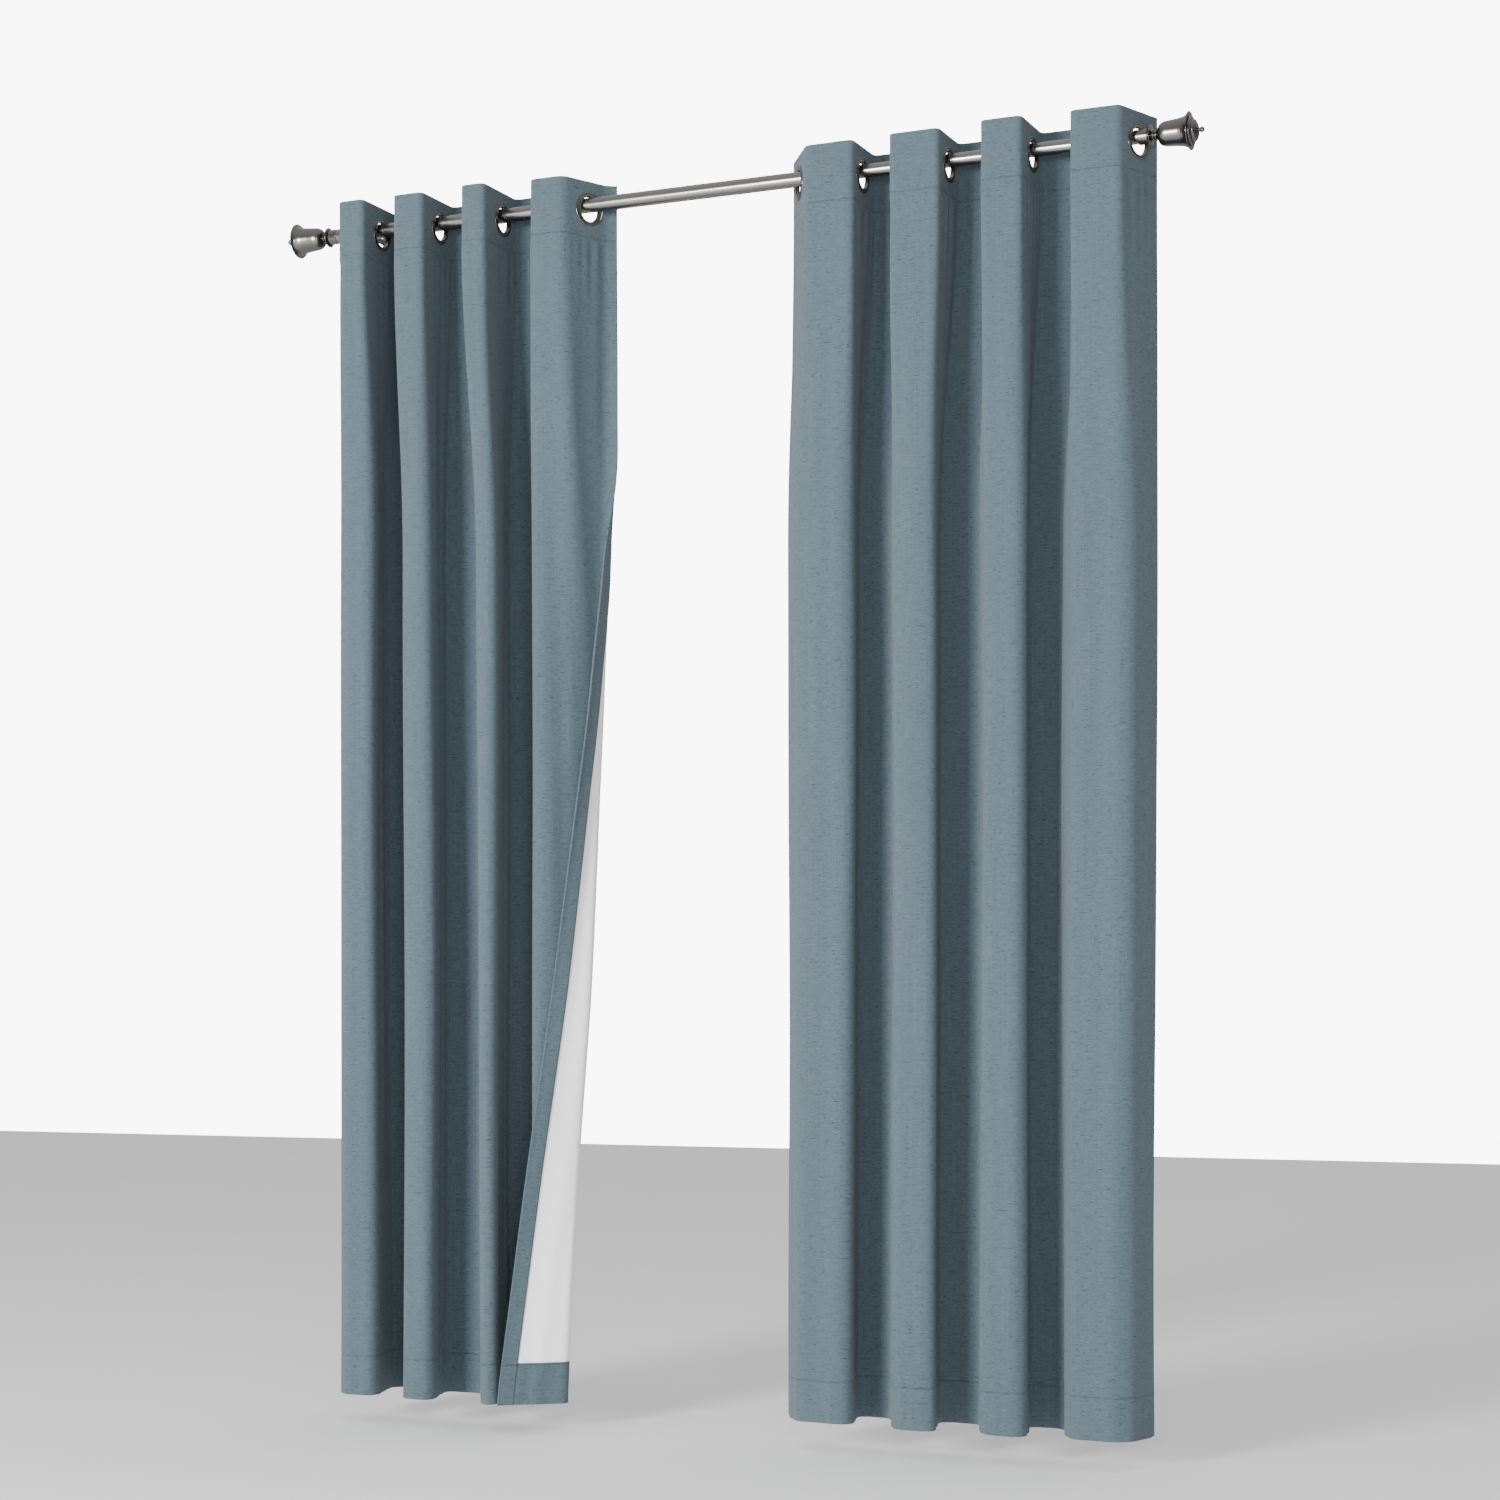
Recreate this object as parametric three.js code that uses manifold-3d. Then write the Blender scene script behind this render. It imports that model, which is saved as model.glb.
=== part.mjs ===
// Pair of lined grommet-top curtains on a telescoping rod with turned finials.
// Millimetres. The origin is on the wall, midway between the two wall plates, level with the rod.
// +X runs along the rod to the right as seen from the room, -Y points into the room, +Z is up.
import * as THREE from 'three';
import { mergeVertices } from 'three/addons/utils/BufferGeometryUtils.js';
import Module from 'manifold-3d';

const wasm = await Module();
wasm.setup();

// ---------- driving dimensions ----------

const FITTING_GAP = 0.3;          // left between any two pieces that meet

// rod
const ROD_STANDOFF = 90;          // wall to rod axis
const OUTER_TUBE_R = 12.7;
const TUBE_WALL = 1.2;
const TELESCOPE_GAP = 0.4;        // inner tube inside outer tube, on the radius
const ROD_HALF_SPAN = 766;        // rod centre to each finial
const INNER_TUBE_SHOWN = 576;     // from the outer tube's end to the right finial
const TUBE_OVERLAP = 400;         // inner tube hidden inside the outer tube

// finials
const SLEEVE_LENGTH = 16;         // shoulder that shows between tube and finial
const SLEEVE_PROUD = 0.4;         // shoulder radius over the outer tube's
const SLEEVE_PLUG_LENGTH = 25;
const STUD_R = 3;
const STUD_LENGTH = 14;
const NECK_LENGTH = 16;
const URN_LENGTH = 52.6;
const SPIGOT_R = 4;
const SPIGOT_LENGTH = 8;

// wall brackets
const BRACKET_INSET = 69;         // finial to bracket, along the rod
const PLATE_WIDTH = 26;
const PLATE_HEIGHT = 76;
const PLATE_THICKNESS = 4;
const SCREW_SPACING = 50;
const SCREW_R = 2.2;
const SCREW_HEAD_R = 4.2;
const SCREW_HEAD_HEIGHT = 2.6;
const SCREW_LENGTH = 32;          // under the head
const ARM_R = 5;
const CRADLE_WIDTH = 14;
const CRADLE_WALL = 3;
const CRADLE_RISE = 10;           // cradle walls above the rod axis
const LOCK_SCREW_R = 2.5;
const LOCK_HEAD_R = 6;
const LOCK_HEAD_LENGTH = 7;

// grommets
const GROMMET_LOOSENESS = 8.8;     // bore over the outer tube, on the radius
const GROMMET_BARREL_WALL = 2.8;
const GROMMET_FLANGE_WIDTH = 7.5;
const GROMMET_CROWN = 1.9;        // flange thickness at the bore
const GROMMET_RIM = 0.8;          // flange thickness at its edge
const GROMMET_HANG_GAP = 1.2;     // bore over the outer tube, at the top; all hang level

// cloth
const CLOTH = 2.4;                // face, lining and hems together
const PANEL_LENGTH = 2134;
const TOP_ABOVE_ROD = 42;
const HEADER_HEIGHT = 100;
const FOLD_DEPTH = 50;            // rod axis to the crest of a fold, in the header
const WIDEST_CORNER_R = 14;
const FLANGE_TO_CORNER = 7;       // flat cloth left past the flange
const HEM_SPREAD = 0.2;           // how much deeper the folds are at the hem
const EDGE_MARGIN = 50;           // end grommet to the panel's side edge, along the cloth
const OUTER_TURN = 20;            // degrees that the end grommets turn from square to the rod

// Each panel is laid out from its outer grommet towards the middle of the rod.
const PANELS = [
  {
    name: 'left',
    side: -1,
    pastBracket: 35,              // outer grommet beyond the bracket
    spans: [71, 62, 58, 83, 45, 81, 90],
    leadingTurn: 24,
    hemLean: 90,                  // how far the leading edge swings outwards at the hem
  },
  {
    name: 'right',
    side: 1,
    pastBracket: 51,
    spans: [99, 80, 69, 76, 86, 67, 112],
    leadingTurn: 34,
    hemLean: 0,
  },
];

// faceting
const TUBE_SIDES = 24;
const FINIAL_SIDES = 16;
const GROMMET_SIDES = 16;
const SCREW_SIDES = 12;
const CORNER_STEPS = 2;
const STRAIGHT_STEP = 28;
const HANG_STEPS = 3;             // levels below the header

// ---------- sizes that follow ----------

const INNER_TUBE_R = OUTER_TUBE_R - TUBE_WALL - TELESCOPE_GAP;
const TUBE_END_X = ROD_HALF_SPAN - SLEEVE_LENGTH;
const STEP_X = ROD_HALF_SPAN - INNER_TUBE_SHOWN;
const BRACKET_X = ROD_HALF_SPAN - BRACKET_INSET;
const ROD_Y = -ROD_STANDOFF;
const HEM_Z = TOP_ABOVE_ROD - PANEL_LENGTH;
const HEADER_Z = TOP_ABOVE_ROD - HEADER_HEIGHT;
const GROMMET_BORE_R = OUTER_TUBE_R + GROMMET_LOOSENESS;
const GROMMET_BARREL_R = GROMMET_BORE_R + GROMMET_BARREL_WALL;
const GROMMET_FLANGE_R = GROMMET_BORE_R + GROMMET_FLANGE_WIDTH;
const GROOVE_HALF = CLOTH / 2 + FITTING_GAP;
const FOLD_CORNER_R = Math.min(WIDEST_CORNER_R, FOLD_DEPTH - GROMMET_FLANGE_R - FLANGE_TO_CORNER);

// ---------- materials ----------

const nickel = { color: 0x8f8b86, roughness: 0.35, metalness: 1 };
const steel = { color: 0x9a9a9a, roughness: 0.45, metalness: 1 };
const cloth = { color: 0x62767f, roughness: 0.9, metalness: 0 };

const model = new THREE.Group();

function addPiece(name, geometry, finish) {
  const mesh = new THREE.Mesh(geometry, new THREE.MeshStandardMaterial(finish));
  mesh.name = name;
  model.add(mesh);
  return mesh;
}

// ---------- shape helpers ----------

// A turned solid about +Y from [radius, height] pairs, with the outer wall running upwards.
function turned(profile, sides) {
  return new THREE.LatheGeometry(profile.map(([r, h]) => new THREE.Vector2(r, h)), sides);
}

// A tube about +Y between two heights.
function tube(outerR, innerR, from, to, sides) {
  return turned([[innerR, from], [outerR, from], [outerR, to], [innerR, to], [innerR, from]], sides);
}

function toSolid(geometry) {
  const bare = geometry.clone();
  bare.deleteAttribute('normal');
  bare.deleteAttribute('uv');
  const merged = mergeVertices(bare, 1e-4);
  return new wasm.Manifold(new wasm.Mesh({
    numProp: 3,
    vertProperties: new Float32Array(merged.attributes.position.array),
    triVerts: new Uint32Array(merged.index.array),
  }));
}

function toGeometry(solid) {
  const mesh = solid.getMesh();
  const geometry = new THREE.BufferGeometry();
  geometry.setAttribute('position', new THREE.BufferAttribute(new Float32Array(mesh.vertProperties), 3));
  geometry.setIndex(new THREE.BufferAttribute(new Uint32Array(mesh.triVerts), 1));
  geometry.computeVertexNormals();
  return geometry;
}

function cut(geometry, tool) {
  return toGeometry(toSolid(geometry).subtract(toSolid(tool)));
}

// A cylinder about a horizontal axis that points `yaw` radians round from +X.
function crossPin(radius, length, yaw, x, y, z, sides) {
  const pin = new THREE.CylinderGeometry(radius, radius, length, sides);
  pin.rotateZ(yaw - Math.PI / 2);
  pin.translate(x, y, z);
  return pin;
}

// ---------- rod ----------

function addRod() {
  const outer = tube(OUTER_TUBE_R, OUTER_TUBE_R - TUBE_WALL, -TUBE_END_X, STEP_X, TUBE_SIDES);
  const inner = tube(INNER_TUBE_R, INNER_TUBE_R - TUBE_WALL, STEP_X - TUBE_OVERLAP, TUBE_END_X, TUBE_SIDES);
  for (const [name, geometry] of [['rod_outer_tube', outer], ['rod_inner_tube', inner]]) {
    const mesh = addPiece(name, geometry, nickel);
    mesh.rotation.z = -Math.PI / 2;
    mesh.position.y = ROD_Y;
  }
}

// ---------- finials: heights run outwards from the end of the rod ----------

function sleeveProfile(tubeR) {
  const plugR = tubeR - TUBE_WALL - FITTING_GAP;
  const shoulderR = OUTER_TUBE_R + SLEEVE_PROUD;
  const shoulderFrom = FITTING_GAP - SLEEVE_LENGTH;
  return [
    [0, shoulderFrom - SLEEVE_PLUG_LENGTH],
    [plugR, shoulderFrom - SLEEVE_PLUG_LENGTH],
    [plugR, shoulderFrom],
    [shoulderR, shoulderFrom],
    [shoulderR, -FITTING_GAP],
    [STUD_R, -FITTING_GAP],
    [STUD_R, STUD_LENGTH],
    [0, STUD_LENGTH],
  ];
}

// A flared collar and two beads, bored for the stud, with a spigot for the urn.
function neckProfile() {
  const boreR = STUD_R + FITTING_GAP;
  const boreTop = STUD_LENGTH + FITTING_GAP;
  return [
    [0, boreTop], [boreR, boreTop], [boreR, 0],
    [13, 0], [17.5, 3], [17.5, 4], [9, 5], [7, 6.2],
    [9, 8.2], [7, 10.2], [6, 11.2], [8.5, 13.2], [6.5, 15.2], [6.5, NECK_LENGTH],
    [SPIGOT_R, NECK_LENGTH], [SPIGOT_R, NECK_LENGTH + SPIGOT_LENGTH], [0, NECK_LENGTH + SPIGOT_LENGTH],
  ];
}

// The bell-shaped body with its thin out-turned rim. Heights here start at the urn's own base.
function urnProfile() {
  const boreR = SPIGOT_R + FITTING_GAP;
  const boreDepth = SPIGOT_LENGTH + FITTING_GAP;
  return [
    [0, boreDepth], [boreR, boreDepth], [boreR, 0],
    [10, 0], [15.5, 2.5], [18.5, 7], [20, 13], [21, 25], [22.5, 38], [24.5, 45],
    [27, 49], [30.7, 51.2], [30.7, 52], [26, URN_LENGTH],
    [boreR, URN_LENGTH], [boreR, URN_LENGTH - boreDepth], [0, URN_LENGTH - boreDepth],
  ];
}

// The stepped dome and its ball tip. Heights here start at the cap's own base.
function capProfile() {
  return [
    [0, -SPIGOT_LENGTH], [SPIGOT_R, -SPIGOT_LENGTH], [SPIGOT_R, 0],
    [24, 0], [24, 2], [22, 4], [18, 5.2], [17.5, 7], [15.5, 9.2], [11, 11.3], [6, 12.3],
    [3.4, 13.5], [3.2, 14.8], [4.8, 17.8], [3.4, 21.2], [0, 22.6],
  ];
}

function addFinial(name, side, tubeR) {
  const urnFrom = NECK_LENGTH + FITTING_GAP;
  const capFrom = urnFrom + URN_LENGTH + FITTING_GAP;
  const pieces = [
    ['sleeve', sleeveProfile(tubeR), 0],
    ['neck', neckProfile(), 0],
    ['urn', urnProfile(), urnFrom],
    ['cap', capProfile(), capFrom],
  ];
  for (const [piece, profile, from] of pieces) {
    const mesh = addPiece(`${name}_finial_${piece}`, turned(profile, FINIAL_SIDES), nickel);
    mesh.rotation.z = -side * Math.PI / 2;
    mesh.position.set(side * (ROD_HALF_SPAN + from), ROD_Y, 0);
  }
}

// ---------- wall brackets ----------

// A plate with round ends and two screw holes; its back face is on the wall.
function plateGeometry() {
  const endR = PLATE_WIDTH / 2;
  const straight = PLATE_HEIGHT / 2 - endR;
  const outline = new THREE.Shape();
  outline.absarc(0, straight, endR, 0, Math.PI, false);
  outline.absarc(0, -straight, endR, Math.PI, 2 * Math.PI, false);
  for (const z of [-SCREW_SPACING / 2, SCREW_SPACING / 2]) {
    const hole = new THREE.Path();
    hole.absarc(0, z, SCREW_R + FITTING_GAP, 0, 2 * Math.PI, true);
    outline.holes.push(hole);
  }
  const settings = { depth: PLATE_THICKNESS, bevelEnabled: false, curveSegments: SCREW_SIDES / 2 };
  const geometry = new THREE.ExtrudeGeometry(outline, settings);
  geometry.rotateX(Math.PI / 2);
  return geometry;
}

// An open-topped U that the tube lies in, with a threaded hole in its front wall.
function cradleGeometry(tubeR) {
  const innerR = tubeR + FITTING_GAP;
  const outerR = innerR + CRADLE_WALL;
  const outline = new THREE.Shape();
  outline.moveTo(outerR, CRADLE_RISE);
  outline.lineTo(innerR, CRADLE_RISE);
  outline.absarc(0, 0, innerR, 0, Math.PI, true);
  outline.lineTo(-innerR, CRADLE_RISE);
  outline.lineTo(-outerR, CRADLE_RISE);
  outline.absarc(0, 0, outerR, Math.PI, 2 * Math.PI, false);
  const settings = { depth: CRADLE_WIDTH, bevelEnabled: false, curveSegments: TUBE_SIDES / 2 };
  const geometry = new THREE.ExtrudeGeometry(outline, settings);
  geometry.translate(0, 0, -CRADLE_WIDTH / 2);
  geometry.rotateX(Math.PI / 2);
  geometry.rotateZ(Math.PI / 2);
  const holeR = LOCK_SCREW_R + FITTING_GAP;
  const hole = crossPin(holeR, 3 * CRADLE_WALL, Math.PI / 2, 0, -innerR - CRADLE_WALL / 2, 0, SCREW_SIDES);
  return cut(geometry, hole);
}

function addBracket(name, side, tubeR) {
  const x = side * BRACKET_X;
  const cradleBackY = ROD_Y + tubeR + FITTING_GAP + CRADLE_WALL;
  const plateFrontY = -PLATE_THICKNESS;

  addPiece(`${name}_wall_plate`, plateGeometry(), steel).position.x = x;

  const armLength = plateFrontY - cradleBackY - 2 * FITTING_GAP;
  const arm = addPiece(
    `${name}_bracket_arm`, new THREE.CylinderGeometry(ARM_R, ARM_R, armLength, FINIAL_SIDES), nickel);
  arm.position.set(x, (plateFrontY + cradleBackY) / 2, 0);

  addPiece(`${name}_rod_cradle`, cradleGeometry(tubeR), nickel).position.set(x, ROD_Y, 0);

  // the lock screw's tip stops just short of the tube, and its head stands off the cradle
  const tipY = ROD_Y - tubeR - FITTING_GAP;
  const shank = CRADLE_WALL + 2;
  const lockScrew = turned([
    [0, -shank - LOCK_HEAD_LENGTH], [LOCK_HEAD_R, -shank - LOCK_HEAD_LENGTH],
    [LOCK_HEAD_R, -shank], [LOCK_SCREW_R, -shank], [LOCK_SCREW_R, 0], [0, 0],
  ], SCREW_SIDES);
  addPiece(`${name}_lock_screw`, lockScrew, nickel).position.set(x, tipY, 0);

  const wallScrew = turned([
    [0, -SCREW_HEAD_HEIGHT], [SCREW_HEAD_R - 1, -SCREW_HEAD_HEIGHT], [SCREW_HEAD_R, -1],
    [SCREW_HEAD_R, 0], [SCREW_R, 0], [SCREW_R, SCREW_LENGTH - 5], [0, SCREW_LENGTH],
  ], SCREW_SIDES);
  for (const [place, z] of [['upper', SCREW_SPACING / 2], ['lower', -SCREW_SPACING / 2]]) {
    addPiece(`${name}_${place}_wall_screw`, wallScrew, steel).position.set(x, plateFrontY - FITTING_GAP, z);
  }
}

// ---------- panels ----------

// A spool whose groove holds the cloth: two flanges joined by a barrel, all about +Y.
function grommetGeometry() {
  const edge = GROOVE_HALF + GROMMET_RIM;
  const crown = GROOVE_HALF + GROMMET_CROWN;
  return turned([
    [GROMMET_BORE_R, -crown], [GROMMET_FLANGE_R, -edge], [GROMMET_FLANGE_R, -GROOVE_HALF],
    [GROMMET_BARREL_R, -GROOVE_HALF], [GROMMET_BARREL_R, GROOVE_HALF], [GROMMET_FLANGE_R, GROOVE_HALF],
    [GROMMET_FLANGE_R, edge], [GROMMET_BORE_R, crown], [GROMMET_BORE_R, -crown],
  ], GROMMET_SIDES);
}

// Offsets a path of straight runs and rounded corners by half the cloth each way, as one outline.
function clothOutline(route) {
  const half = CLOTH / 2;
  const sides = [[], []];
  const leftOf = (v) => new THREE.Vector2(-v.y, v.x);
  let latest = null;
  const drop = (point, normal) => {
    // a straight run is laid in short lengths, so that it can twist a little further down
    const run = latest ? latest.distanceTo(point) : 0;
    const lengths = Math.max(1, Math.round(run / STRAIGHT_STEP));
    for (let n = 1; n <= lengths; n += 1) {
      const place = latest ? latest.clone().lerp(point, n / lengths) : point;
      sides[0].push(place.clone().addScaledVector(normal, half));
      sides[1].unshift(place.clone().addScaledVector(normal, -half));
      if (!latest) break;
    }
    latest = point;
  };
  for (let i = 0; i < route.length; i += 1) {
    const before = i > 0 ? route[i].clone().sub(route[i - 1]).normalize() : null;
    const after = i < route.length - 1 ? route[i + 1].clone().sub(route[i]).normalize() : null;
    if (!before || !after) {
      drop(route[i], leftOf(before || after));
      continue;
    }
    const turn = Math.atan2(before.x * after.y - before.y * after.x, before.dot(after));
    const setback = FOLD_CORNER_R * Math.tan(Math.abs(turn) / 2);
    const start = route[i].clone().addScaledVector(before, -setback);
    const inward = leftOf(before).multiplyScalar(Math.sign(turn) * FOLD_CORNER_R);
    const centre = start.clone().add(inward);
    for (let step = 0; step <= CORNER_STEPS; step += 1) {
      const angle = turn * step / CORNER_STEPS;
      const spoke = inward.clone().negate().rotateAround(new THREE.Vector2(), angle);
      drop(centre.clone().add(spoke), leftOf(before).rotateAround(new THREE.Vector2(), angle));
    }
  }
  return new THREE.Shape([...sides[0], ...sides[1]]);
}

// Lets the cloth below the header spread to deeper folds, and the leading edge lean outwards.
function hang(geometry, leanAt) {
  const position = geometry.attributes.position;
  for (let i = 0; i < position.count; i += 1) {
    const level = Math.round(position.getZ(i));
    const fallen = Math.max(0, (HANG_STEPS - level) / HANG_STEPS);
    const z = level > HANG_STEPS ? TOP_ABOVE_ROD : THREE.MathUtils.lerp(HEADER_Z, HEM_Z, fallen);
    const x = position.getX(i) + fallen * leanAt(position.getX(i));
    const y = position.getY(i) * (1 + fallen * HEM_SPREAD);
    position.setXYZ(i, x, y, z);
  }
}

function addPanel(panel) {
  const { name, side, pastBracket, spans, hemLean } = panel;
  const places = [BRACKET_X + pastBracket];
  for (const span of spans) places.push(places[places.length - 1] - span);
  const last = places.length - 1;

  // the lean starts two grommets from the leading edge and grows evenly towards it
  const leanFrom = places[last - 2];
  const leanTo = places[last];
  const leanAt = (x) => {
    const share = THREE.MathUtils.clamp((leanFrom - Math.abs(x)) / (leanFrom - leanTo), 0, 1);
    return side * hemLean * share;
  };

  places.forEach((place, k) => {
    const turnDegrees = k === 0 ? OUTER_TURN : k === last ? panel.leadingTurn : 0;
    const turn = THREE.MathUtils.degToRad(turnDegrees);
    // an even grommet's cloth comes from behind the rod to the front, an odd one's goes back
    const entry = k % 2 === 0 ? 1 : -1;
    const lean = new THREE.Vector2(side * Math.sin(turn), entry * Math.cos(turn));
    const centre = new THREE.Vector2(side * place, 0);
    const reach = FOLD_DEPTH / Math.cos(turn);
    const entryCorner = centre.clone().addScaledVector(lean, reach);
    const exitCorner = centre.clone().addScaledVector(lean, -reach);
    const route = [];
    if (k === 0) {
      route.push(centre.clone().addScaledVector(lean, EDGE_MARGIN));
    } else {
      const crest = side * ((places[k - 1] + place) / 2 - FITTING_GAP / 2);
      route.push(new THREE.Vector2(crest, entry * FOLD_DEPTH), entryCorner);
    }
    if (k === last) {
      route.push(centre.clone().addScaledVector(lean, -EDGE_MARGIN));
    } else {
      const crest = side * ((place + places[k + 1]) / 2 + FITTING_GAP / 2);
      route.push(exitCorner, new THREE.Vector2(crest, -entry * FOLD_DEPTH));
    }

    const levels = HANG_STEPS + 1;
    const settings = { depth: levels, steps: levels, bevelEnabled: false };
    const strip = new THREE.ExtrudeGeometry(clothOutline(route), settings);
    hang(strip, leanAt);
    strip.translate(0, ROD_Y, 0);

    const boreReach = GROMMET_BORE_R * Math.cos(Math.PI / GROMMET_SIDES);
    const z = OUTER_TUBE_R + GROMMET_HANG_GAP - boreReach;
    const yaw = Math.atan2(-lean.x, lean.y);
    const holeR = GROMMET_BARREL_R + FITTING_GAP;
    const hole = crossPin(holeR, 6 * CLOTH, yaw, side * place, ROD_Y, z, GROMMET_SIDES);
    addPiece(`${name}_cloth_${k + 1}`, cut(strip, hole), cloth);

    const grommet = addPiece(`${name}_grommet_${k + 1}`, grommetGeometry(), nickel);
    grommet.rotation.z = yaw - Math.PI / 2;
    grommet.position.set(side * place, ROD_Y, z);
  });
}

addRod();
addFinial('left', -1, OUTER_TUBE_R);
addFinial('right', 1, INNER_TUBE_R);
addBracket('left', -1, OUTER_TUBE_R);
addBracket('right', 1, INNER_TUBE_R);
PANELS.forEach(addPanel);

export default model;
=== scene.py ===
"""Pair of lined grommet-top curtains on a telescoping rod with turned finials.

Metres, in the frame shared with the CAD part: the rod runs along X, the room is towards -Y, and the wall
is the plane y = 0.
"""

import math

import bmesh
import bpy
import numpy as np
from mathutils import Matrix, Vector


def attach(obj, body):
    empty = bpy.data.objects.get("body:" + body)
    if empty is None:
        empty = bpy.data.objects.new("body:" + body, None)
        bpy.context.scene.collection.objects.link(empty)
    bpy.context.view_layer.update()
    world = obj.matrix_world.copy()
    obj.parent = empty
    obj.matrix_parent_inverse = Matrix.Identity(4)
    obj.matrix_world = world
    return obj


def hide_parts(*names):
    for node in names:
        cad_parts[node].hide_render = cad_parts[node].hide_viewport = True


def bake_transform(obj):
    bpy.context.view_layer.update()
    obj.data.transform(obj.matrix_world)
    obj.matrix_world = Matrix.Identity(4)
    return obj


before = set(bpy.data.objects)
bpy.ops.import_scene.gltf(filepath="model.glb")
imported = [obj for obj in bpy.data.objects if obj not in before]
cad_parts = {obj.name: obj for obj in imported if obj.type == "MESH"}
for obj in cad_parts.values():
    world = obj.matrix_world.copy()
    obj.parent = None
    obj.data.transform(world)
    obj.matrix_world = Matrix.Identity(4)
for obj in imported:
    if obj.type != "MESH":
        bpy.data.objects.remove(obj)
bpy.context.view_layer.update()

MM = 0.001

# ---------- sizes ----------

ROD_Y = -0.090
TUBE_R = 12.7 * MM
INNER_TUBE_R = 11.1 * MM
TUBE_WALL = 1.2 * MM
TUBE_END = 0.750
STEP_X = 0.190
INNER_FROM = -0.210
FINIAL_X = 0.766
BRACKET_X = 0.697

TOP, HEM = 0.042, -2.092
HEADER = TOP - 0.100
HEADER_STITCH = HEADER + 0.003
HEM_STITCH = HEM + 0.070
HEM_TURNUP = 0.073
SIDE_HEM = 0.027
SIDE_STITCH = 0.0245
RING_Z = -7.19 * MM
HOLE_R = 24.6 * MM
FLANGE_R = 29 * MM
MARGIN = 0.050
PANEL_WIDTH = 1.321
PITCH = (PANEL_WIDTH - 2 * MARGIN) / 7
CLOTH_THICK = 0.7 * MM
LINING_THICK = 0.4 * MM
FRONT_N, BACK_N = 1.0 * MM, -1.1 * MM
SIDE_HEM_N = -1.9 * MM

BASE_COLUMNS = 96
MARGIN_COLUMNS = 28

# each panel's grommets, from its outer edge to its leading edge, in millimetres: place along the rod at
# the top and at the hem, and how far the cloth has drifted towards the wall at the hem; and the degrees
# by which each grommet is turned from square across the rod
PANELS = {
    "left": dict(
        side=-1,
        top=[732, 661, 599, 541, 458, 413, 332, 242],
        hem=[733, 660, 601, 540, 447, 411, 352, 262],
        back=[0, 3, -4, 3, 6, 0, 27, 0],
        turn=[20, 0, 0, 0, 0, 0, 0, 24],
        flap=True,
        seed=4,
    ),
    "right": dict(
        side=1,
        top=[748, 649, 569, 500, 424, 338, 271, 159],
        hem=[757, 630, 559, 484, 404, 328, 258, 144],
        back=[0, -3, 4, -3, 4, -4, 3, 0],
        turn=[20, 0, 0, 0, 0, 0, 0, 34],
        flap=False,
        seed=11,
    ),
}

# the left panel's loose leading fold, which rolls over on itself lower down: height, then three bends,
# each as how far along the cloth it comes in millimetres and the cloth's direction after it in degrees
FLAP = [
    (0.042, 49.3, 0, 111.3, 66, 207, 30),
    (-0.060, 49.3, 0, 111.3, 66, 207, 30),
    (-0.20, 49.3, 1, 114, 66, 210, 20),
    (-0.40, 50, 4, 122, 68, 206, -22),
    (-0.58, 49, 24, 124, 64, 192, -94),
    (-0.77, 48, 37, 134, 52, 177, -99),
    (-0.90, 46, 39, 133, 47, 169, -102),
    (-1.03, 44, 40, 129, 43, 159, -105),
    (-1.38, 40, 34, 115, 38, 143, -130),
    (-1.69, 36, 39, 96, 37, 119, -134),
    (-2.10, 33, 33, 80, 32, 94, -145),
]


# ---------- meshes ----------


def ease(x):
    """Smoothstep 3x^2 - 2x^3 of x held to 0..1: level at both ends."""
    x = np.clip(x, 0, 1)
    return x * x * (3 - 2 * x)


def make_mesh(name, points, faces, material, uv=None, flat=None):
    """A closed mesh from an array of points and arrays of quads or triangles. The faces are all turned over
    if the enclosed volume comes out negative. uv gives one pair for each point; flat marks faces that
    are not smoothed."""
    points = np.asarray(points, float).reshape(-1, 3)
    faces = [np.asarray(f, int) for f in faces if len(f)]
    volume = 0.0
    for f in faces:
        a = points[f[:, 0]]
        for k in range(1, f.shape[1] - 1):
            volume += np.einsum("ij,ij->", a, np.cross(points[f[:, k]], points[f[:, k + 1]]))
    if volume < 0:
        faces = [f[:, ::-1] for f in faces]
    corners = np.concatenate([f.ravel() for f in faces])
    sizes = np.concatenate([np.full(len(f), f.shape[1]) for f in faces])
    mesh = bpy.data.meshes.new(name)
    mesh.vertices.add(len(points))
    mesh.vertices.foreach_set("co", points.ravel())
    mesh.loops.add(len(corners))
    mesh.loops.foreach_set("vertex_index", corners)
    mesh.polygons.add(len(sizes))
    mesh.polygons.foreach_set("loop_start", np.concatenate([[0], np.cumsum(sizes)[:-1]]))
    mesh.update(calc_edges=True)
    smooth = np.ones(len(sizes), bool)
    if flat is not None:
        smooth[flat] = False
    mesh.polygons.foreach_set("use_smooth", smooth)
    if uv is not None:
        layer = mesh.uv_layers.new(name="cloth")
        layer.data.foreach_set("uv", np.asarray(uv, float).reshape(-1, 2)[corners].ravel())
    mesh.update()
    obj = bpy.data.objects.new(name, mesh)
    bpy.context.scene.collection.objects.link(obj)
    mesh.materials.append(material)
    return obj


def grid_quads(rows, columns, close_rows=False, close_columns=False):
    """Quads over a rows x columns grid of points numbered row by row."""
    r = np.arange(rows if close_rows else rows - 1)[:, None]
    c = np.arange(columns if close_columns else columns - 1)[None, :]
    r2, c2 = (r + 1) % rows, (c + 1) % columns
    quads = [r * columns + c, r * columns + c2, r2 * columns + c2, r2 * columns + c]
    return np.stack(np.broadcast_arrays(*quads), -1).reshape(-1, 4)


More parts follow.
